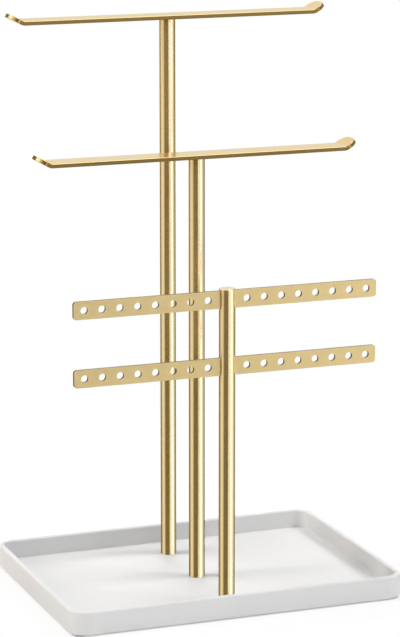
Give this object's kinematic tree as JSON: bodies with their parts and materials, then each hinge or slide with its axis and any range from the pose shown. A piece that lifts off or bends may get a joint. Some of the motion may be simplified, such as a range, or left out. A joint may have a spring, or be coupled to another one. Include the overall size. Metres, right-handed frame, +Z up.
{
  "type": "jewelry stand",
  "caption": "Free-standing jewelry stand: rimmed white tray, gold posts, swivelling hanging bars with turned-up ends, and drilled earring strips.",
  "frame": {"origin": "on the table, under the centre of the tray", "axes": "+X along the bars and the tray's long side, +Y to the back, from the short front post to the tall rear post, +Z up"},
  "size_m": [0.218, 0.16, 0.359],
  "materials": {
    "white_abs": "glossy moulded white",
    "gold_plate": "satin gold plating on steel",
    "zinc_steel": "bright zinc-plated steel",
    "pad_rubber": "soft matte non-slip pad"
  },
  "bodies": {
    "base": {"tray": "white_abs", "foot_pad_front_left": "pad_rubber", "foot_pad_front_right": "pad_rubber", "foot_pad_rear_left": "pad_rubber", "foot_pad_rear_right": "pad_rubber", "rear_post": "gold_plate", "middle_post": "gold_plate", "rear_foot_plug": "zinc_steel", "middle_foot_plug": "zinc_steel", "rear_top_plug": "zinc_steel", "middle_top_plug": "zinc_steel", "rear_base_screw": "zinc_steel", "middle_base_screw": "zinc_steel", "front_base_screw": "zinc_steel"},
    "upper_bar": {"upper_bar": "gold_plate", "upper_bar_stud": "zinc_steel"},
    "middle_bar": {"middle_bar": "gold_plate", "middle_bar_stud": "zinc_steel"},
    "earring_post": {"front_post": "gold_plate", "front_foot_plug": "zinc_steel", "front_post_cap": "gold_plate", "upper_earring_strip": "gold_plate", "lower_earring_strip": "gold_plate", "upper_strip_screw": "zinc_steel", "lower_strip_screw": "zinc_steel"}
  },
  "joints": [
    {"name": "upper_bar_swivel", "type": "hinge", "parent": "base", "child": "upper_bar", "pos_m": [0, 0.052, 0.3524], "axis": [0, 0, 1], "range_deg": [-90, 90]},
    {"name": "middle_bar_swivel", "type": "hinge", "parent": "base", "child": "middle_bar", "pos_m": [0, 0, 0.2722], "axis": [0, 0, 1], "range_deg": [-70, 70]},
    {"name": "earring_post_swivel", "type": "hinge", "parent": "base", "child": "earring_post", "pos_m": [0, -0.052, 0.0036], "axis": [0, 0, 1], "range_deg": [-75, 75]}
  ]
}
